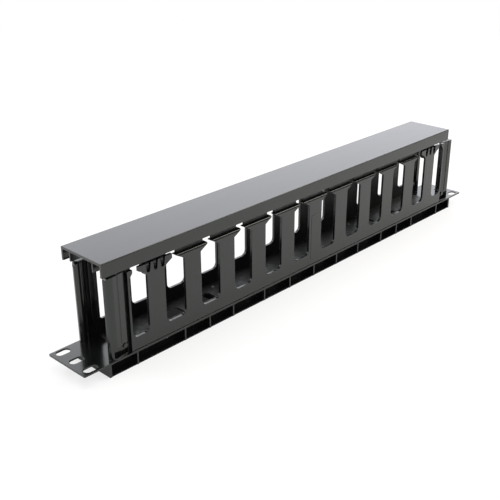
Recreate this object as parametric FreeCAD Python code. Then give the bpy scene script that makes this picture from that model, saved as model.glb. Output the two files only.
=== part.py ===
"""Horizontal cable manager, one rack unit high: a slotted duct body with rack ears, and a cover that hinges on it.

Frame: X runs along the rack width, Y through the rack-unit height of the panel (front wall at -Y),
Z is the reach of the duct away from the rack rails, with the ribbed base down and the cover on top.
The two nodes are the two mouldings: finger_duct_body and snap_cover.  Millimetres throughout.
"""
import os
import math
import FreeCAD
import Part

# ---- rack standard ----
rack_width = 482.6          # over both ears of a nineteen-inch panel
ear_slot_span = 465.1       # left slots to right slots
unit_hole_pitch = 15.875    # between the three holes of one rack unit
ear_slot_long = 11.2        # mounting slot, along the rack width
ear_slot_high = 6.5         # mounting slot, across
ear_corner_r = 1.0

# ---- base moulding ----
body_high = 41.6            # plate and walls, a little under one rack unit
base_long = 441.0           # passes between the rack rails
plate_t = 1.3
plate_top = 11.2
end_wall_t = 1.8
web_set_back = 7.0          # long webs stand this far inside the plate edge
web_t = 1.8
flange_t = 0.7              # thin foot along the bottom of each web
flange_set_back = 0.3
edge_rib_t = 1.3
edge_rib_at = (0.0, 31.5, 63.0, 99.0, 124.5, 150.0, 195.5)   # mirrored to both ends
cross_rib_high = 4.8        # cross ribs under the plate, between the webs
floor_opening_long = 15.0
floor_opening_wide = 10.4
floor_opening_r = 2.0
floor_opening_y = 2.8       # centre line, a little behind the middle of the floor
floor_opening_at = (107.6, 141.2)                            # mirrored to both ends

# ---- finger walls ----
wall_t = 2.1
finger_pitch = 35.0
finger_count = 11
slot_wide = 19.3
slot_bottom = 22.0
slot_corner_r = 4.6
shoulder_start = 66.9       # the stem starts to widen into the T-head
shoulder_end = 71.1
head_half = 15.3
head_top = 71.8
head_edge_r = 1.8           # the top outer edge of every T-head is well rounded
end_rib_in = 198.3          # thin rib that closes the last slot
end_rib_out = 200.0
end_hook_reach = 2.8        # the end rib's half head
end_hook_start = 68.2
end_hook_full = 71.6
end_rib_top = 74.0
foot_line_low = 11.7        # shadow line along the foot of the wall
foot_line_high = 0.8
foot_line_deep = 0.5
shelf_t = 1.7               # the T-head turns inward on a shelf, then rises as a tongue inside the cover
tongue_set_back = 3.3
tongue_t = 1.8
tongue_half = 13.1
tongue_top = 79.2
tongue_chamfer = 1.6
line_wide = 0.5             # witness line on the middle finger
line_deep = 0.25
line_x = -5.2
line_low = 17.0
line_top = 57.0

# ---- comb fingers that carry the hinge bars ----
comb_finger = 5             # fingers +5 and -5 of both walls
comb_top = 74.5
comb_block_half = 10.3
comb_block_low = 65.4
comb_depth = 5.4            # the comb block is thicker than the wall, inward
notch_pitch = 6.5
notch_wide = 4.8
notch_narrow = 3.2          # at its round bottom
notch_bottom = 67.4
bar_r = 1.3
bar_in_from_face = 3.3      # bar axis behind the outer face of the wall
bar_z = 73.0

# ---- corner posts ----
post_in = 201.7
post_out = 217.2
post_edge_r = 5.0           # outer edge of the post, turning from its face to its side
post_top_r = 4.0
post_face_sink = 1.8        # the post's face slopes in by this much towards the finger wall
post_line_in = 207.6        # shallow groove line down the face
post_line_wide = 1.0
post_line_floor = 19.8
column_in = 207.6           # round column on the channel side of the post panel
column_bulge = 4.7
groove_floor = 17.0         # bottom of the deep groove between the post and the last slot
groove_web_t = 1.6
groove_web_out = 206.0
foot_web_out = 209.5        # the web is wider behind the pocket
rib_root_t = 0.8
pocket_low = 12.6
pocket_top = 20.4
pocket_in = 202.0
pocket_out = 214.8
pocket_deep = 4.0
peg_r = 1.7
peg_x = 205.0

# ---- cover ----
cover_wide = 44.4           # stays under one rack unit, 44.45
cover_long = 425.0
cover_shift = -9.0          # the cover sits a little toward the -X ear
cover_top = 87.4
cover_t = 1.9
lip_t = 1.8
lip_bottom = 77.1
cover_edge_r = 0.7
bead_low = 77.4             # rounded snap bead inside each lip
bead_high = 1.0
bead_out = 0.5
cover_rib_y = 12.5
cover_rib_t = 1.2
cover_rib_bottom = 78.6
hinge_play = 0.3            # between a bar and the bore of its hook
hook_wall = 0.8
hook_side_play = 0.4        # between a hook and the narrow end of its notch, each side
hook_leg = 0.9              # the open mouth reaches this far below the bar axis
hook_arm_out = 0.4          # outer face of the arm, past the bar axis

half = body_high / 2.0
web_out = half - web_set_back
web_in = web_out - web_t
plate_low = plate_top - plate_t
wall_in = half - wall_t
stem_half = (finger_pitch - slot_wide) / 2.0
gap_half = finger_pitch / 2.0 - head_half
last_centre = comb_finger * finger_pitch
bar_y = half - bar_in_from_face


def vec(x, y, z):
    return FreeCAD.Vector(x, y, z)


def box(x0, x1, y0, y1, z0, z1):
    """Box between two corners, whichever way round they are given."""
    lo = vec(min(x0, x1), min(y0, y1), min(z0, z1))
    return Part.makeBox(abs(x1 - x0), abs(y1 - y0), abs(z1 - z0), lo)


def prism(points, y0, y1):
    """Polygon drawn in X and Z, pushed along Y from y0 to y1."""
    corners = [vec(x, y0, z) for x, z in points]
    face = Part.Face(Part.makePolygon(corners + corners[:1]))
    return face.extrude(vec(0, y1 - y0, 0))


def round_rect(x_mid, y_mid, long, wide, r, z0, z1):
    """Rectangle with round corners lying flat, from z0 to z1."""
    solid = box(x_mid - long / 2, x_mid + long / 2, y_mid - wide / 2, y_mid + wide / 2, z0, z1)
    upright = [e for e in solid.Edges if abs(e.Vertexes[0].Z - e.Vertexes[-1].Z) > (z1 - z0) / 2]
    return solid.makeFillet(r, upright)


def mirror_x(shape):
    return shape.mirror(vec(0, 0, 0), vec(1, 0, 0))


def mirror_y(shape):
    return shape.mirror(vec(0, 0, 0), vec(0, 1, 0))


def joined(shapes):
    return shapes[0].multiFuse(shapes[1:]).removeSplitter()


# ---- ribbed base ----
def floor_plate():
    """Plate with both ears, its mounting slots and the cable openings through the floor."""
    plate = round_rect(0, 0, rack_width, body_high, ear_corner_r, plate_low, plate_top)
    cuts = []
    for side in (-1, 1):
        for row in (-1, 0, 1):
            cuts.append(round_rect(side * ear_slot_span / 2, row * unit_hole_pitch, ear_slot_long,
                                   ear_slot_high, ear_slot_high / 2 - 0.01, plate_low - 1, plate_top + 1))
        for x in floor_opening_at:
            cuts.append(round_rect(side * x, floor_opening_y, floor_opening_long, floor_opening_wide,
                                   floor_opening_r, plate_low - 1, plate_top + 1))
    return plate.cut(cuts[0].multiFuse(cuts[1:]))


def skirt():
    """Webs, feet, edge ribs, cross ribs and end walls under the plate."""
    end = base_long / 2
    parts = []
    for side in (-1, 1):
        parts.append(box(-end, end, side * web_in, side * web_out, 0, plate_low + 0.2))
        parts.append(box(-end, end, side * web_in, side * (half - flange_set_back), 0, flange_t))
        parts.append(box(side * (end - end_wall_t), side * end, -half, half, 0, plate_low + 0.2))
    stations = sorted(set([s * x for s in (-1, 1) for x in edge_rib_at]))
    for x in stations:
        for side in (-1, 1):
            parts.append(box(x - edge_rib_t / 2, x + edge_rib_t / 2, side * (web_out - 0.2), side * half,
                             0, plate_low + 0.2))
        parts.append(box(x - edge_rib_t / 2, x + edge_rib_t / 2, -web_in - 0.2, web_in + 0.2,
                         plate_low - cross_rib_high, plate_low + 0.2))
    return parts


# ---- finger wall, drawn at the +Y side and mirrored for the front ----
def slot_outline(left, right, left_head, right_head, left_zs, right_zs):
    """Slot with round bottom corners; its top narrows between the two heads."""
    r = slot_corner_r
    low = slot_bottom
    y = wall_in - 1.0
    k = r * math.sqrt(0.5)
    top = head_top + 8.0
    pts = [vec(left, y, low + r), vec(left, y, left_zs[0]), vec(left_head, y, left_zs[1]),
           vec(left_head, y, top), vec(right_head, y, top), vec(right_head, y, right_zs[1]),
           vec(right, y, right_zs[0]), vec(right, y, low + r)]
    edges = [Part.makeLine(a, b) for a, b in zip(pts, pts[1:])]
    arc_r = Part.Arc(vec(right, y, low + r), vec(right - r + k, y, low + r - k), vec(right - r, y, low))
    arc_l = Part.Arc(vec(left + r, y, low), vec(left + r - k, y, low + r - k), vec(left, y, low + r))
    edges.append(arc_r.toShape())
    edges.append(Part.makeLine(vec(right - r, y, low), vec(left + r, y, low)))
    edges.append(arc_l.toShape())
    return Part.Face(Part.Wire(edges)).extrude(vec(0, wall_t + 2.0, 0))


def slots():
    shoulder = (shoulder_start, shoulder_end)
    cuts = []
    for k in range(-comb_finger, comb_finger):
        a = k * finger_pitch
        b = a + finger_pitch
        cuts.append(slot_outline(a + stem_half, b - stem_half, a + head_half, b - head_half, shoulder, shoulder))
    last = slot_outline(last_centre + stem_half, end_rib_in, last_centre + head_half,
                        end_rib_in - end_hook_reach, shoulder, (end_hook_start, end_hook_full))
    cuts.append(last)
    cuts.append(mirror_x(last))
    return cuts


def tongue(x_mid):
    """Inward shelf of one T-head and the tongue that stands inside the cover lip."""
    slope_x = stem_half + (head_half - stem_half) * (head_top - shelf_t - shoulder_start) / (
        shoulder_end - shoulder_start)
    shelf = [(-slope_x, head_top - shelf_t), (slope_x, head_top - shelf_t), (head_half, shoulder_end),
             (head_half, head_top), (-head_half, head_top), (-head_half, shoulder_end)]
    tongue_out = half - tongue_set_back
    c = tongue_chamfer
    blade = [(-tongue_half, head_top - 0.5), (tongue_half, head_top - 0.5), (tongue_half, tongue_top - c),
             (tongue_half - c, tongue_top), (c - tongue_half, tongue_top), (-tongue_half, tongue_top - c)]
    return [prism([(x_mid + x, z) for x, z in shelf], tongue_out - tongue_t, half),
            prism([(x_mid + x, z) for x, z in blade], tongue_out - tongue_t, tongue_out)]


def comb(x_mid):
    """Raised head with a thicker block and a tongue inside it, cut by three notches that a bar runs across."""
    head = box(x_mid - head_half, x_mid + head_half, wall_in, half, shoulder_end, comb_top)
    block = prism([(x_mid - stem_half, comb_block_low), (x_mid + stem_half, comb_block_low),
                   (x_mid + comb_block_half, comb_block_low + 3.0), (x_mid + comb_block_half, comb_top),
                   (x_mid - comb_block_half, comb_top), (x_mid - comb_block_half, comb_block_low + 3.0)],
                  half - comb_depth, half)
    tongue_out = half - tongue_set_back
    c = tongue_chamfer
    low = comb_top - 0.5
    blade = prism([(x_mid - comb_block_half, low), (x_mid + comb_block_half, low),
                   (x_mid + comb_block_half, tongue_top - c), (x_mid + comb_block_half - c, tongue_top),
                   (x_mid + c - comb_block_half, tongue_top), (x_mid - comb_block_half, tongue_top - c)],
                  tongue_out - tongue_t, tongue_out)
    return [head, block, blade]


def notch(x_mid):
    r = notch_narrow / 2
    y0 = half - comb_depth - 1.0
    deep = comb_depth + 2.0
    taper = prism([(x_mid - r, notch_bottom + r), (x_mid + r, notch_bottom + r),
                   (x_mid + notch_wide / 2, comb_top), (x_mid + notch_wide / 2, tongue_top + 1.0),
                   (x_mid - notch_wide / 2, tongue_top + 1.0), (x_mid - notch_wide / 2, comb_top)],
                  y0, y0 + deep)
    return taper.fuse(Part.makeCylinder(r, deep, vec(x_mid, y0, notch_bottom + r), vec(0, 1, 0)))


def head_rounding():
    """Takes the square corner off the top outer edge of the T-heads, end to end."""
    r = head_edge_r
    reach = (comb_finger - 1) * finger_pitch + head_half + 0.5
    y, z = half - r, head_top - r
    corner = box(-reach, reach, y, half + 1.0, z, head_top + 1.0)
    return corner.cut(Part.makeCylinder(r, 2 * reach + 2.0, vec(-reach - 1.0, y, z), vec(1, 0, 0)))


def finger_wall():
    low = plate_top - plate_t / 2
    wall = [box(-end_rib_out, end_rib_out, wall_in, half, low, head_top)]
    wall = wall[0].cut(slots()[0].multiFuse(slots()[1:]))
    parts = [wall]
    for k in range(1 - comb_finger, comb_finger):
        parts += tongue(k * finger_pitch)
    for side in (-1, 1):
        parts += comb(side * last_centre)
        parts.append(box(side * end_rib_in, side * end_rib_out, wall_in, half, head_top - 1.0, end_rib_top))
        parts.append(box(side * (end_rib_in - end_hook_reach), side * end_rib_out, wall_in, half,
                         end_hook_full, end_rib_top))
    wall = joined(parts)
    cuts = [notch(side * last_centre + n * notch_pitch) for side in (-1, 1) for n in (-1, 0, 1)]
    cuts.append(box(-end_rib_out - 1, end_rib_out + 1, half - foot_line_deep, half + 1,
                    foot_line_low, foot_line_low + foot_line_high))
    cuts.append(head_rounding())
    wall = wall.cut(cuts[0].multiFuse(cuts[1:]))
    bars = []
    for side in (-1, 1):
        x0 = side * last_centre - comb_block_half + 0.5
        bars.append(Part.makeCylinder(bar_r, 2 * comb_block_half - 1.0, vec(x0, bar_y, bar_z), vec(1, 0, 0)))
    return joined([wall] + bars)


def witness_line():
    """Faint two-sided line on the middle finger of the front wall."""
    deep = line_deep + 1.0
    y = -half - 1.0
    w = line_wide / 2
    up = box(line_x - w, line_x + w, y, y + deep, line_low, line_top + w)
    across = box(line_x - w, stem_half + 0.5, y, y + deep, line_top - w, line_top + w)
    return up.fuse(across)


# ---- corner post, drawn at +X +Y and mirrored to the four corners ----
def post():
    """Sloping panel whose outer edge rolls round into a column, a set-back web, and a pocket at the foot."""
    low = plate_top - plate_t / 2
    r = post_edge_r
    k = r * (1 - math.sqrt(0.5))
    start = vec(post_in, half - post_face_sink, low)
    turn = vec(post_out - r, half, low)
    side = vec(post_out, half - r, low)
    deep = vec((column_in + post_out) / 2, wall_in - column_bulge, low)
    back = vec(column_in, wall_in, low)
    inner = vec(post_in, wall_in, low)
    ring = [Part.makeLine(start, turn), Part.Arc(turn, vec(post_out - k, half - k, low), side).toShape(),
            Part.Arc(side, deep, back).toShape(), Part.makeLine(back, inner), Part.makeLine(inner, start)]
    column = Part.Face(Part.Wire(ring)).extrude(vec(0, 0, comb_top - low))
    r = post_top_r
    corner = box(post_out - r, post_out + 1, 0, half + 1, comb_top - r, comb_top + 1)
    corner = corner.cut(Part.makeCylinder(r, half + 2, vec(post_out - r, -0.5, comb_top - r), vec(0, 1, 0)))
    y0 = groove_floor - groove_web_t
    x0 = end_rib_out - rib_root_t
    web = [box(x0, groove_web_out, y0, groove_floor, low, end_rib_top),
           box(x0, end_rib_out, y0, wall_in + 0.05, low, end_rib_top),
           box(post_in, groove_web_out, groove_floor - 0.1, wall_in + 0.05, low, end_rib_top),
           box(groove_web_out - 0.1, foot_web_out, y0, wall_in + 0.05, low, pocket_top + 1.6)]
    solid = joined([column.cut(corner)] + web)
    solid = solid.cut(box(post_line_in, post_line_in + post_line_wide, post_line_floor, half + 1,
                          pocket_top + 2.0, comb_top + 1))
    solid = solid.cut(box(pocket_in, pocket_out, half - pocket_deep, half + 1, pocket_low, pocket_top))
    peg = Part.makeCylinder(peg_r, wall_t + 1.0, vec(peg_x, wall_in - 1.4, pocket_top - peg_r + 0.5), vec(0, 1, 0))
    return joined([solid, peg])


def finger_duct_body():
    wall = finger_wall()
    corner = post()
    parts = [floor_plate()] + skirt()
    parts += [wall, mirror_y(wall).cut(witness_line())]
    parts += [corner, mirror_x(corner), mirror_y(corner), mirror_x(mirror_y(corner))]
    return joined(parts)


# ---- cover ----
def hook(x_mid):
    """Open-mouthed hook over a hinge bar, hanging from the cover on an arm inside its lip; drawn at +Y."""
    bore = bar_r + hinge_play
    outer = bore + hook_wall
    wide = notch_narrow - 2 * hook_side_play
    x0 = x_mid - wide / 2
    arm = box(x0, x0 + wide, bar_y - outer, bar_y + hook_arm_out, bar_z, cover_top - cover_t + 0.3)
    ring = Part.makeCylinder(outer, wide, vec(x0, bar_y, bar_z), vec(1, 0, 0))
    solid = arm.fuse(ring)
    solid = solid.cut(Part.makeCylinder(bore, wide + 2, vec(x0 - 1, bar_y, bar_z), vec(1, 0, 0)))
    solid = solid.cut(box(x0 - 1, x0 + wide + 1, bar_y - bore, bar_y + bore, bar_z - 5, bar_z))
    return solid.cut(box(x0 - 1, x0 + wide + 1, bar_y - outer - 1, bar_y + outer + 1,
                         bar_z - outer - 1, bar_z - hook_leg))


def snap_cover():
    x0 = cover_shift - cover_long / 2
    x1 = cover_shift + cover_long / 2
    w = cover_wide / 2
    shell = box(x0, x1, -w, w, lip_bottom, cover_top)
    crease = [e for e in shell.Edges if e.BoundBox.XLength > 100 and e.BoundBox.ZMin > cover_top - 0.01]
    shell = shell.makeFillet(cover_edge_r, crease)
    shell = shell.cut(box(x0 - 1, x1 + 1, lip_t - w, w - lip_t, lip_bottom - 1, cover_top - cover_t))
    parts = [shell]
    side = []
    side.append(box(x0, x1, cover_rib_y - cover_rib_t / 2, cover_rib_y + cover_rib_t / 2,
                    cover_rib_bottom, cover_top - cover_t + 0.3))
    inner = w - lip_t
    bead = [vec(x0, inner + 0.3, bead_low), vec(x0, inner, bead_low),
            vec(x0, inner - bead_out, bead_low + bead_high / 2), vec(x0, inner, bead_low + bead_high),
            vec(x0, inner + 0.3, bead_low + bead_high)]
    side.append(Part.Face(Part.makePolygon(bead + bead[:1])).extrude(vec(x1 - x0, 0, 0)))
    for end in (-1, 1):
        for n in (-1, 0, 1):
            side.append(hook(end * last_centre + n * notch_pitch))
    parts += side
    parts += [mirror_y(s) for s in side]
    return joined(parts)


os.makedirs("parts", exist_ok=True)
shape = finger_duct_body()
shape.exportStep("parts/finger_duct_body.step")
print("finger_duct_body", len(shape.Solids), "solid", shape.isValid(), round(shape.Volume / 1000, 1), "cm3")
shape = snap_cover()
shape.exportStep("parts/snap_cover.step")
print("snap_cover", len(shape.Solids), "solid", shape.isValid(), round(shape.Volume / 1000, 1), "cm3")
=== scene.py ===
# %% [markdown]
# # A one-unit cable manager in black ABS
# The real thing is two injection mouldings: a slotted duct with rack ears, and a cover hinged along it.
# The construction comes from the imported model, so this lesson only gives it its finish, its moulding marks,
# a camera and soft light.  Everything is in metres, in the frame of the model: X along the rack, the front
# wall at -Y, and Z up to the cover.

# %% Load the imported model
import bpy
import bmesh
import math
from mathutils import Matrix, Vector


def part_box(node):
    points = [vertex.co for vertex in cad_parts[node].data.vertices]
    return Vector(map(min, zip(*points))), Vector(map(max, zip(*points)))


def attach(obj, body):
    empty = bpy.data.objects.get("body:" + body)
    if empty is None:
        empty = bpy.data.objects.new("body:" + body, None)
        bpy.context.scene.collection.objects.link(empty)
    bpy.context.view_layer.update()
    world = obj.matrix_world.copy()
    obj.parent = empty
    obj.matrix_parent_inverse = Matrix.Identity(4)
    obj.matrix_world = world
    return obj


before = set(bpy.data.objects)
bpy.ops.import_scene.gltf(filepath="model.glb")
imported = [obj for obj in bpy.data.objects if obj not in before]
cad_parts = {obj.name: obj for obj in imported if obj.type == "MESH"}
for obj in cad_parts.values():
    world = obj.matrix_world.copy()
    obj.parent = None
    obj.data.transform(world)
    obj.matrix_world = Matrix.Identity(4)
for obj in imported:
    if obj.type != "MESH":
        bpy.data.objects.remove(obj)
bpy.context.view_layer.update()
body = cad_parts["finger_duct_body"]
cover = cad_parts["snap_cover"]

# %% [markdown]
# ## Units and colours
# Sizes are written in millimetres, because that is how a mould maker thinks, and one function turns them to
# metres.  Colours are written as the hex values that any colour picker shows, which are sRGB, and one function
# turns them to the linear values that a shader works in.

# %% Millimetres to metres, sRGB hex to linear
def mm(value):
    return value / 1000.0


def linear(code):
    shades = [int(code[i:i + 2], 16) / 255.0 for i in (1, 3, 5)]
    flat = [s / 12.92 if s <= 0.04045 else ((s + 0.055) / 1.055) ** 2.4 for s in shades]
    return (flat[0], flat[1], flat[2], 1.0)


WHITE = (1, 1, 1, 1)
print("one rack unit is", mm(44.45), "m, moulded black in linear", [round(v, 4) for v in linear("#0e0f0e")])

# %% [markdown]
# ## The camera
# A product camera stands at the near left end of the duct, a little above it, so the long front wall runs away
# to the right.  It could be placed by hand, but a direction, a distance and a small roll are easier to read and
# to change.  A lens of about 60 mm keeps the long body from looking stretched.

# %% Camera
CAMERA_AZIMUTH = -46.530          # degrees round from the front wall's side
CAMERA_ELEVATION = 24.379
CAMERA_DISTANCE = mm(675.398)
CAMERA_ROLL = -0.189
CAMERA_TARGET = Vector((mm(-58.237), 0.0, mm(36.977)))
SENSOR_WIDTH = 36.0               # mm, as a lens maker counts it
FOCAL_SHARE = 1.653798            # focal length over the sensor's width


def look_from(azimuth, elevation, distance, roll, target):
    a = math.radians(azimuth)
    e = math.radians(elevation)
    back = Vector((math.sin(a) * math.cos(e), -math.cos(a) * math.cos(e), math.sin(e)))
    right = (-back).cross(Vector((0, 0, 1))).normalized()
    up = right.cross(-back)
    r = math.radians(roll)
    turned_right = right * math.cos(r) + up * math.sin(r)
    turned_up = up * math.cos(r) - right * math.sin(r)
    turn = Matrix((turned_right, turned_up, back)).transposed().to_4x4()
    return Matrix.Translation(target + back * distance) @ turn


lens = bpy.data.cameras.new("product_camera")
lens.sensor_width = SENSOR_WIDTH
lens.lens = SENSOR_WIDTH * FOCAL_SHARE
lens.clip_start = 0.01
lens.clip_end = 30.0
camera = bpy.data.objects.new("product_camera", lens)
camera.matrix_world = look_from(CAMERA_AZIMUTH, CAMERA_ELEVATION, CAMERA_DISTANCE, CAMERA_ROLL, CAMERA_TARGET)
bpy.context.scene.collection.objects.link(camera)
bpy.context.scene.camera = camera
print("lens", round(lens.lens, 2), "mm, camera at", [round(v * 1000) for v in camera.location], "mm")

# %% [markdown]
# ## A helper for node trees
# Every material, and every Geometry Nodes tree below, is wired in code.  One small function adds a node, sets
# its options and inputs, and links what feeds it, so each tree reads from top to bottom.  An input is called by
# its name, with _ for a space, or by its number after a _ where several share a name.

# %% Add a node with its settings and links
def add(tree, kind, options=None, **inputs):
    node = tree.nodes.new(kind)
    for name, value in (options or {}).items():
        setattr(node, name, value)
    for name, value in inputs.items():
        key = int(name[1:]) if name[0] == "_" and name[1:].isdigit() else name.replace("_", " ")
        socket = node.inputs[key]
        if isinstance(value, bpy.types.NodeSocket):
            tree.links.new(value, socket)
        else:
            socket.default_value = value
    return node


def maths(tree, operation, *values):
    """One Math node, and its result."""
    inputs = {"_%d" % i: value for i, value in enumerate(values)}
    return add(tree, "ShaderNodeMath", {"operation": operation}, **inputs).outputs[0]


def span(tree, value, low, high, to_low=0.0, to_high=1.0, interpolation="LINEAR"):
    """One Map Range node, from low and high to to_low and to_high, and its result."""
    return add(tree, "ShaderNodeMapRange", {"interpolation_type": interpolation}, Value=value, From_Min=low,
               From_Max=high, To_Min=to_low, To_Max=to_high).outputs["Result"]


def new_material(name):
    material = bpy.data.materials.new(name)
    material.use_nodes = True
    material.node_tree.nodes.clear()
    return material


print("helpers ready:", ", ".join(f.__name__ for f in (add, maths, span, new_material)))

# %% [markdown]
# ## Black ABS, moulded
# Both parts are ABS with carbon black, moulded in a tool whose faces were lightly spark-eroded.  The plastic
# itself is nearly black.  What the eye reads as grey is the white room mirrored in a satin skin, more so at a
# grazing angle.  ABS has an index of refraction of about 1.54.  A flat colour would miss all that, so the skin
# is built up in four steps, each a pattern of its own: how the melt flowed, the spark grain, the scuffs of
# handling, and the edges, which no mould leaves as sharp as a knife.

# %% How the melt flowed
STREAK_WIDE = mm(9.0)
STREAK_SHARE = 0.22               # the pattern runs this much slower along X, so a streak is about 40 mm long


def flow_of_melt(tree, place):
    """Slow streaks in the gloss, because the melt ran along the part."""
    along = add(tree, "ShaderNodeMapping", Vector=place, Scale=(STREAK_SHARE, 1.0, 1.0)).outputs["Vector"]
    return add(tree, "ShaderNodeTexNoise", Vector=along, Scale=1 / STREAK_WIDE, Detail=3.0,
               Roughness=0.55).outputs["Fac"]


print("streaks of flow in mm:", round(STREAK_WIDE * 1000 / STREAK_SHARE), "by", round(STREAK_WIDE * 1000))

# %% Spark grain and scuffs
FINE_CRATER = mm(0.25)
COARSE_CRATER = mm(0.9)
SCUFF_WIDE = mm(0.5)
SCUFF_SHARE = 0.04                # a scuff is 25 times as long as wide, about 12 mm
SCUFF_PATCH = mm(25.0)


def spark_grain(tree, place):
    """Craters of the eroded tool face: fine ones over coarser ones."""
    fine = add(tree, "ShaderNodeTexNoise", Vector=place, Scale=1 / FINE_CRATER, Detail=2.0)
    coarse = add(tree, "ShaderNodeTexVoronoi", {"feature": "SMOOTH_F1"}, Vector=place,
                 Scale=1 / COARSE_CRATER, Smoothness=0.6)
    return add(tree, "ShaderNodeMix", {"data_type": "FLOAT"}, _0=0.35, _2=fine.outputs["Fac"],
               _3=coarse.outputs["Distance"]).outputs["Result"]


def scuffs(tree, place):
    """Short dull rubs left by stacking and packing, in patches."""
    bent = add(tree, "ShaderNodeMapping", Vector=place, Rotation=(0.3, 0.2, 0.25),
               Scale=(SCUFF_SHARE, 1.0, 1.0))
    lines = add(tree, "ShaderNodeTexNoise", Vector=bent.outputs["Vector"], Scale=1 / SCUFF_WIDE, Detail=1.0)
    where = add(tree, "ShaderNodeTexNoise", Vector=place, Scale=1 / SCUFF_PATCH, Detail=1.0)
    return maths(tree, "MULTIPLY", span(tree, lines.outputs["Fac"], 0.66, 0.74),
                 span(tree, where.outputs["Fac"], 0.5, 0.65))


print("craters", FINE_CRATER * 1000, "and", COARSE_CRATER * 1000, "mm, scuffs", SCUFF_WIDE * 1000, "mm wide")

# %% [markdown]
# ## The inside of the duct
# A moulding has a show side, formed by the cavity, and a core side, which nobody polishes.  Inside the duct the
# core leaves a duller, blotchy skin.  It could be a second material on the inner faces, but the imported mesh
# stays as it is, so the material looks at where it is: the inside is what lies between the inner faces of the
# walls, above the floor and short of the ears.

# %% Mask for the core side
CORE_HALF_WIDTH = (mm(18.95), mm(18.8))       # the mask fades in from the first value to the second
CORE_FLOOR = (mm(10.8), mm(11.1))
CORE_HALF_LENGTH = (mm(203.0), mm(200.0))
CORE_BLOTCH = mm(4.0)


def core_side(tree, place):
    at = add(tree, "ShaderNodeSeparateXYZ", Vector=place)
    between = span(tree, maths(tree, "ABSOLUTE", at.outputs["Y"]), *CORE_HALF_WIDTH)
    above = span(tree, at.outputs["Z"], *CORE_FLOOR)
    within = span(tree, maths(tree, "ABSOLUTE", at.outputs["X"]), *CORE_HALF_LENGTH)
    return maths(tree, "MULTIPLY", maths(tree, "MULTIPLY", between, above), within)


def core_blotches(tree, place):
    """Roughness that an uneven core polish adds."""
    patch = add(tree, "ShaderNodeTexNoise", Vector=place, Scale=1 / CORE_BLOTCH, Detail=4.0, Roughness=0.6)
    return span(tree, patch.outputs["Fac"], 0.35, 0.65, 0.20, 0.42)


print("core side within", round(CORE_HALF_WIDTH[1] * 1000, 1), "mm of the middle, above",
      round(CORE_FLOOR[1] * 1000, 1), "mm")

# %% [markdown]
# ## Where the edges are
# No edge of a moulding is sharp, and bevelling the mesh would change the imported model.  The Bevel node gives
# the normal of a rounded edge without touching the mesh.  Compared with the true normal it also tells where an
# edge is.  That mask makes edges a little duller, and paints them a little paler as a painted highlight, so that
# thin ribs and finger edges still read in soft light.

# %% Edge mask from the rounded normal
EDGE_RADIUS = mm(0.4)


def edge_for_painted_highlight(tree):
    rounded = add(tree, "ShaderNodeBevel", {"samples": 4}, Radius=EDGE_RADIUS).outputs["Normal"]
    plain = add(tree, "ShaderNodeNewGeometry").outputs["Normal"]
    turned = add(tree, "ShaderNodeVectorMath", {"operation": "DOT_PRODUCT"}, _0=rounded, _1=plain)
    return rounded, span(tree, turned.outputs["Value"], 0.995, 0.8)


print("edges rounded by", EDGE_RADIUS * 1000, "mm in the shading")

# %% [markdown]
# ## The two mouldings
# Duct and cover come from two tools, so they are two materials made by one recipe: the duct is a little
# glossier, the cover a little more satin.  Roughness starts from the skin and takes its share of flow, scuff
# and edge.  The grain goes in as a bump of a few thousandths of a millimetre, which is about what spark erosion
# leaves.

# %% Moulded ABS material
ABS_IOR = 1.54
FLOW_ROUGHNESS = 0.012            # up and down from the skin's own
SCUFF_ROUGHNESS = 0.05
EDGE_ROUGHNESS = 0.06
GRAIN_DEPTH = mm(0.006)
OLIVE_SHEEN = (0.955, 1.0, 0.965, 1.0)        # this black mirrors the room with a trace of green


def moulded_abs(name, colour, edge_highlight_colour, roughness, has_core):
    material = new_material(name)
    tree = material.node_tree
    place = add(tree, "ShaderNodeTexCoord").outputs["Object"]
    flow = flow_of_melt(tree, place)
    rounded, edge = edge_for_painted_highlight(tree)

    dull = span(tree, flow, 0.3, 0.7, roughness - FLOW_ROUGHNESS, roughness + FLOW_ROUGHNESS)
    dull = maths(tree, "MULTIPLY_ADD", scuffs(tree, place), SCUFF_ROUGHNESS, dull)
    dull = maths(tree, "MULTIPLY_ADD", edge, EDGE_ROUGHNESS, dull)
    if has_core:
        dull = maths(tree, "ADD", dull, maths(tree, "MULTIPLY", core_side(tree, place),
                                              core_blotches(tree, place)))

    # carbon black disperses unevenly: the base colour is up to a quarter lighter over patches of flow
    lighter = tuple(1.25 * v for v in linear(colour)[:3]) + (1.0,)
    tone = add(tree, "ShaderNodeMix", {"data_type": "RGBA"}, _0=flow, _6=linear(colour), _7=lighter)
    # painted highlight: the edge mask mixes the paler edge colour into every rounded edge
    paint = add(tree, "ShaderNodeMix", {"data_type": "RGBA"}, _0=maths(tree, "MULTIPLY", edge, 0.5),
                _6=tone.outputs[2], _7=linear(edge_highlight_colour))
    bump = add(tree, "ShaderNodeBump", Height=spark_grain(tree, place), Distance=GRAIN_DEPTH, Strength=0.2,
               Normal=rounded)
    skin = add(tree, "ShaderNodeBsdfPrincipled", Base_Color=paint.outputs[2], IOR=ABS_IOR, Roughness=dull,
               Specular_Tint=OLIVE_SHEEN, Normal=bump.outputs["Normal"])
    add(tree, "ShaderNodeOutputMaterial", Surface=skin.outputs["BSDF"])
    return material


# the second colour of each moulding is its painted edge highlight
duct_abs = moulded_abs("abs_black_moulded_duct", "#0d0f0e", "#1c1d1c", 0.17, True)
cover_abs = moulded_abs("abs_black_moulded_cover", "#0e100e", "#1e1f1e", 0.22, False)
body.material_slots[0].material = duct_abs
cover.material_slots[0].material = cover_abs
print("materials", [m.name for m in (duct_abs, cover_abs)])
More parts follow.
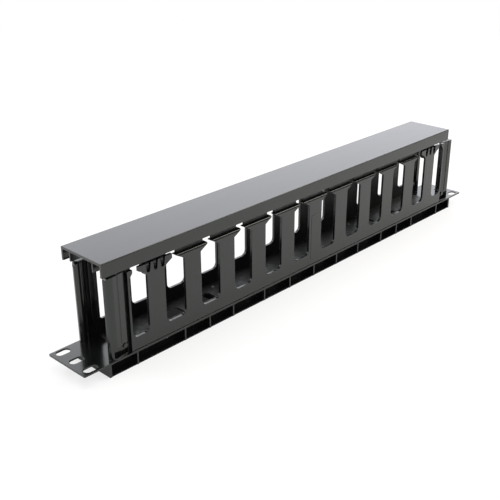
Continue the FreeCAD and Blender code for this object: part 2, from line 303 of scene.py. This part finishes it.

# %% [markdown]
# ## Pale pips at the gates
# The pips get a finish of their own, a pale, dull grey that changes from grain to grain, with no gloss
# to speak of.

# %% Pale grey pip material
PIP_GRAIN_SIZE = mm(0.5)
gate_abs = new_material("abs_pale_grey_gate_pip")
tree = gate_abs.node_tree
place = add(tree, "ShaderNodeTexCoord").outputs["Object"]
pip_grain_noise = add(tree, "ShaderNodeTexNoise", Vector=place, Scale=1 / PIP_GRAIN_SIZE, Detail=3.0)
# the pips are a pale grey, far lighter than the black of the duct around them
pip_tone = add(tree, "ShaderNodeMix", {"data_type": "RGBA"}, _0=pip_grain_noise.outputs["Fac"], _6=linear("#4a4b49"),
           _7=linear("#9a9b98"))
skin = add(tree, "ShaderNodeBsdfPrincipled", Base_Color=pip_tone.outputs[2], IOR=ABS_IOR, Roughness=0.6)
add(tree, "ShaderNodeOutputMaterial", Surface=skin.outputs["BSDF"])
print("material", gate_abs.name)

# %% [markdown]
# ## The marks that a mould leaves
# Look inside any moulded duct and there are rows of small marks: round witness discs, where ejector pins pushed
# the part out of the tool, and low domed pips where the melt came in.  They could be set down one by one, or
# faked in a bump.  But they are one form each, repeated along straight rows, which is what Geometry Nodes are
# for: a line of points, one small form set on every point, and the whole made real.

# %% A tree for a row of marks
ROW_INPUTS = (("Count", "NodeSocketInt", 1), ("First", "NodeSocketVector", (0, 0, 0)),
              ("Step", "NodeSocketVector", (0.01, 0, 0)), ("Facing", "NodeSocketVector", (0, 0, 0)),
              ("Radius", "NodeSocketFloat", 0.002), ("Height", "NodeSocketFloat", 0.0002))


def row_tree(name, form, material):
    """Points in a row, a form on each.  form(tree, inputs) returns the geometry of one mark facing +Z."""
    group = bpy.data.node_groups.new(name, "GeometryNodeTree")
    group.is_modifier = True
    for label, kind, value in ROW_INPUTS:
        socket = group.interface.new_socket(label, in_out="INPUT", socket_type=kind)
        socket.default_value = value
    group.interface.new_socket("Marks", in_out="OUTPUT", socket_type="NodeSocketGeometry")
    given = add(group, "NodeGroupInput").outputs
    line = add(group, "GeometryNodeMeshLine", {"mode": "OFFSET"}, Count=given["Count"],
               Start_Location=given["First"], Offset=given["Step"])
    facing = add(group, "FunctionNodeEulerToRotation", Euler=given["Facing"])
    stood = add(group, "GeometryNodeInstanceOnPoints", Points=line.outputs[0], Instance=form(group, given),
                Rotation=facing.outputs[0])
    real = add(group, "GeometryNodeRealizeInstances", Geometry=stood.outputs[0])
    dressed = add(group, "GeometryNodeSetMaterial", Geometry=real.outputs[0], Material=material)
    add(group, "NodeGroupOutput", Marks=dressed.outputs[0])
    return group


print("inputs of a row:", ", ".join(label for label, kind, value in ROW_INPUTS))

# %% The two forms
DISC_ROOT = mm(0.8)               # a disc goes this deep into its wall, so none of it lies in the wall's face


def witness_disc(tree, given):
    """Flat disc with a drafted rim, the print of an ejector pin."""
    disc = add(tree, "GeometryNodeMeshCone", {"fill_type": "NGON"}, Vertices=28,
               Radius_Top=maths(tree, "SUBTRACT", given["Radius"], given["Height"]),
               Radius_Bottom=given["Radius"], Depth=maths(tree, "ADD", given["Height"], DISC_ROOT))
    return add(tree, "GeometryNodeTransform", _0=disc.outputs["Mesh"],
               Translation=(0.0, 0.0, -DISC_ROOT)).outputs[0]


def domed_pip(tree, given):
    """Low dome: a ball pressed flat, half of it in the wall."""
    ball = add(tree, "GeometryNodeMeshUVSphere", Segments=20, Rings=10, Radius=given["Radius"])
    size = add(tree, "ShaderNodeCombineXYZ", X=1.0, Y=1.0,
               Z=maths(tree, "DIVIDE", given["Height"], given["Radius"]))
    smooth = add(tree, "GeometryNodeSetShadeSmooth", _0=ball.outputs["Mesh"])
    return add(tree, "GeometryNodeTransform", _0=smooth.outputs[0], Scale=size.outputs[0]).outputs[0]


discs_on_duct = row_tree("ejector_discs_duct", witness_disc, duct_abs)
discs_on_cover = row_tree("ejector_discs_cover", witness_disc, cover_abs)
pips_on_duct = row_tree("gate_pips_duct", domed_pip, gate_abs)
print("trees", [g.name for g in (discs_on_duct, discs_on_cover, pips_on_duct)])

# %% [markdown]
# ## Turning a tree into a plain mesh
# A modifier on an empty mesh runs the tree.  Its inputs are set by each socket's identifier before the object
# is first evaluated, the evaluated result becomes a mesh of its own, and the modifier goes.  The tree puts its
# material last in the mesh's list, after an empty slot.  Rows on one moulding are joined into one object, which
# takes that material in its only slot and then rides with the moulding.

# %% Run a tree and keep its mesh
def row_mesh(group, **values):
    carrier = bpy.data.objects.new("carrier", bpy.data.meshes.new("carrier"))
    bpy.context.scene.collection.objects.link(carrier)
    run = carrier.modifiers.new("row", "NODES")
    run.node_group = group
    for item in group.interface.items_tree:
        if item.in_out == "INPUT" and item.name in values:
            run[item.identifier] = values[item.name]
    seen = carrier.evaluated_get(bpy.context.evaluated_depsgraph_get())
    mesh = bpy.data.meshes.new_from_object(seen)
    carrier.modifiers.remove(run)
    bpy.data.objects.remove(carrier)
    return mesh


def rows_as_piece(name, meshes, moulding):
    """Joins rows into one object and lets it ride on a moulding."""
    joined = bmesh.new()
    for mesh in meshes:
        joined.from_mesh(mesh)
    for face in joined.faces:
        face.material_index = 0
    whole = bpy.data.meshes.new(name)
    joined.to_mesh(whole)
    joined.free()
    whole.materials.append(meshes[0].materials[-1])
    piece = bpy.data.objects.new(name, whole)
    bpy.context.scene.collection.objects.link(piece)
    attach(piece, moulding)
    print(name, len(whole.polygons), "faces on", moulding, "in", whole.materials[0].name)


print("helpers ready:", row_mesh.__name__, "and", rows_as_piece.__name__)

# %% [markdown]
# ## Marks on the duct
# The duct is pushed out of its tool from below, so its ejector discs sit under the floor plate, two in each bay
# between the cross ribs that has no floor opening.  Gate pips, where the melt came in, stand on the floor near
# the back wall, and two more sit under the plate's front edge, in the recesses of the skirt.

# %% Discs under the floor
duct_low, duct_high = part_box("finger_duct_body")
UNDER_FLOOR = mm(9.9)
DISC_ROWS = ((-47.25, 31.5, 4), (-81.0, 162.0, 2), (-172.75, 345.5, 2))    # first X and step in mm, count
DOWN = (math.pi, 0.0, 0.0)
rows = []
for first, step, count in DISC_ROWS:
    for across in (mm(-9.0), mm(9.0)):
        rows.append(row_mesh(discs_on_duct, Count=count, First=(mm(first), across, UNDER_FLOOR),
                             Step=(mm(step), 0.0, 0.0), Facing=DOWN, Radius=mm(3.0), Height=mm(0.3)))
print("duct from", [round(v * 1000, 1) for v in duct_low], "to", [round(v * 1000, 1) for v in duct_high])
rows_as_piece("ejector_discs_on_duct", rows, "duct")

# %% Gate pips on the duct
FLOOR_TOP = mm(11.2)
UP = (0.0, 0.0, 0.0)
on_floor = row_mesh(pips_on_duct, Count=2, First=(mm(-90.4), mm(11.1), FLOOR_TOP),
                    Step=(mm(180.8), 0.0, 0.0), Facing=UP, Radius=mm(1.2), Height=mm(0.9))
under_edge = row_mesh(pips_on_duct, Count=2, First=(mm(-167.0), duct_low[1] + mm(1.4), mm(10.0)),
                      Step=(mm(334.0), 0.0, 0.0), Facing=UP, Radius=mm(1.0), Height=mm(1.4))
rows_as_piece("gate_pips_on_duct", [on_floor, under_edge], "duct")

# %% [markdown]
# ## Marks under the cover
# The cover is pushed out of its tool from inside, so its discs sit on the underside, in one row between the two
# long ribs.  They only show when it is swung open.

# %% Row under the cover
cover_low, cover_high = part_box("snap_cover")
COVER_THICK = mm(1.9)
row = row_mesh(discs_on_cover, Count=9, First=(cover_low[0] + mm(32.5), 0.0, cover_high[2] - COVER_THICK),
               Step=(mm(45.0), 0.0, 0.0), Facing=DOWN, Radius=mm(3.2), Height=mm(0.3))
rows_as_piece("ejector_discs_on_cover", [row], "cover")

# %% [markdown]
# ## Floor, room and lamps
# The duct lies on a white sweep.  The floor is a plain matt white that keeps the soft shadow, and gives off a
# little light of its own only to what looks at it directly or in a reflection, so the sweep reads as white
# without more light falling on the object.  Close to the duct that share is small, so what the recesses mirror
# stays dark, and it grows with the distance.  The room is white in the same way, except for the side where the
# camera stands: there the gloss finds a dim studio, which is what draws dark lines along the rounded edges.

# %% White floor that keeps the shadow
def seen_directly(tree):
    """1 for what the camera, a reflection or a refraction looks at, 0 for light that falls on things."""
    path = add(tree, "ShaderNodeLightPath")
    mirrored = maths(tree, "MAXIMUM", path.outputs["Is Camera Ray"], path.outputs["Is Glossy Ray"])
    return maths(tree, "MAXIMUM", mirrored, path.outputs["Is Transmission Ray"])


def camera_ray(tree):
    return add(tree, "ShaderNodeLightPath").outputs["Is Camera Ray"]


CAMERA_SHARE = 0.72               # what the camera looks at is a little whiter still
sweep_paint = new_material("white_paper_sweep")
tree = sweep_paint.node_tree
matt = add(tree, "ShaderNodeBsdfDiffuse", Color=linear("#f2f2f2"))
own = add(tree, "ShaderNodeEmission", Color=WHITE, Strength=seen_directly(tree))
out_from_duct = add(tree, "ShaderNodeVectorMath", {"operation": "LENGTH"},
                    _0=add(tree, "ShaderNodeTexCoord").outputs["Object"]).outputs["Value"]
share = maths(tree, "MAXIMUM", span(tree, out_from_duct, 0.3, 1.4, 0.3, 1.0, "SMOOTHSTEP"),
              maths(tree, "MULTIPLY", camera_ray(tree), CAMERA_SHARE))
glow = add(tree, "ShaderNodeMixShader", _0=share, _1=matt.outputs[0], _2=own.outputs[0])
add(tree, "ShaderNodeOutputMaterial", Surface=glow.outputs[0])

bpy.ops.mesh.primitive_plane_add(size=12.0, location=(0, 0, 0))
floor = bpy.context.object
floor.name = "paper_sweep"
floor.data.materials.append(sweep_paint)
print("floor", floor.name, [round(v, 1) for v in floor.dimensions], "m")

# %% White room
ROOM_LIGHT = 0.55                 # what falls on the object
DIM_SIDE = 0.15                   # what the gloss finds where the camera stands
world = bpy.data.worlds.new("white_room")
bpy.context.scene.world = world
world.use_nodes = True
tree = world.node_tree
tree.nodes.clear()
soft = add(tree, "ShaderNodeBackground", Color=WHITE, Strength=ROOM_LIGHT)
way = add(tree, "ShaderNodeSeparateXYZ", Vector=add(tree, "ShaderNodeTexCoord").outputs["Generated"])
side = span(tree, way.outputs["Y"], -0.3, 0.15, DIM_SIDE, 1.0, "SMOOTHSTEP")
shown = add(tree, "ShaderNodeBackground", Color=WHITE, Strength=maths(tree, "MAXIMUM", side, camera_ray(tree)))
room = add(tree, "ShaderNodeMixShader", _0=seen_directly(tree), _1=soft.outputs[0], _2=shown.outputs[0])
add(tree, "ShaderNodeOutputWorld", Surface=room.outputs[0])
print("room", world.name, "lights with", ROOM_LIGHT)

# %% [markdown]
# ## Lamps
# Lamps could be small and many, but a glossy black thing shows every one of them as a spot, so these are a few
# large soft boxes: one overhead for the whole, one low behind on the right that lies as a long sheen on the cover
# and grows towards its far end, a smaller one behind on the left, one above the right end, and one in front,
# kept weak because the front wall takes its grey from the floor it mirrors.

# %% Soft lamps
def soft_lamp(name, place, aim, wide, high, watts, tint="#ffffff"):
    light = bpy.data.lights.new(name, "AREA")
    light.color = linear(tint)[:3]
    light.shape = "RECTANGLE"
    light.size = wide
    light.size_y = high
    light.energy = watts
    lamp = bpy.data.objects.new(name, light)
    direction = Vector(aim) - Vector(place)
    lamp.matrix_world = Matrix.Translation(place) @ direction.to_track_quat("-Z", "Y").to_matrix().to_4x4()
    bpy.context.scene.collection.objects.link(lamp)
    print(name, watts, "W,", wide, "by", high, "m")


soft_lamp("overhead_softbox", (-0.2, 0.3, 1.6), (0, 0, 0), 1.6, 1.2, 14.0)
soft_lamp("front_softbox", (-0.9, -1.5, 0.9), (0, 0, 0.04), 1.2, 0.9, 4.4)
soft_lamp("back_softbox", (1.12, 1.01, 0.56), (0, 0, 0.08), 1.8, 1.0, 8.5, "#f2f2fe")
soft_lamp("back_left_softbox", (-0.8, 0.9, 0.9), (-0.2, 0.1, 0), 1.0, 0.8, 6.0)
soft_lamp("warm_right_softbox", (0.9, -0.35, 1.05), (0.3, -0.1, 0), 0.8, 0.8, 11.0, "#fff8f0")
bpy.context.scene.view_settings.view_transform = "Standard"
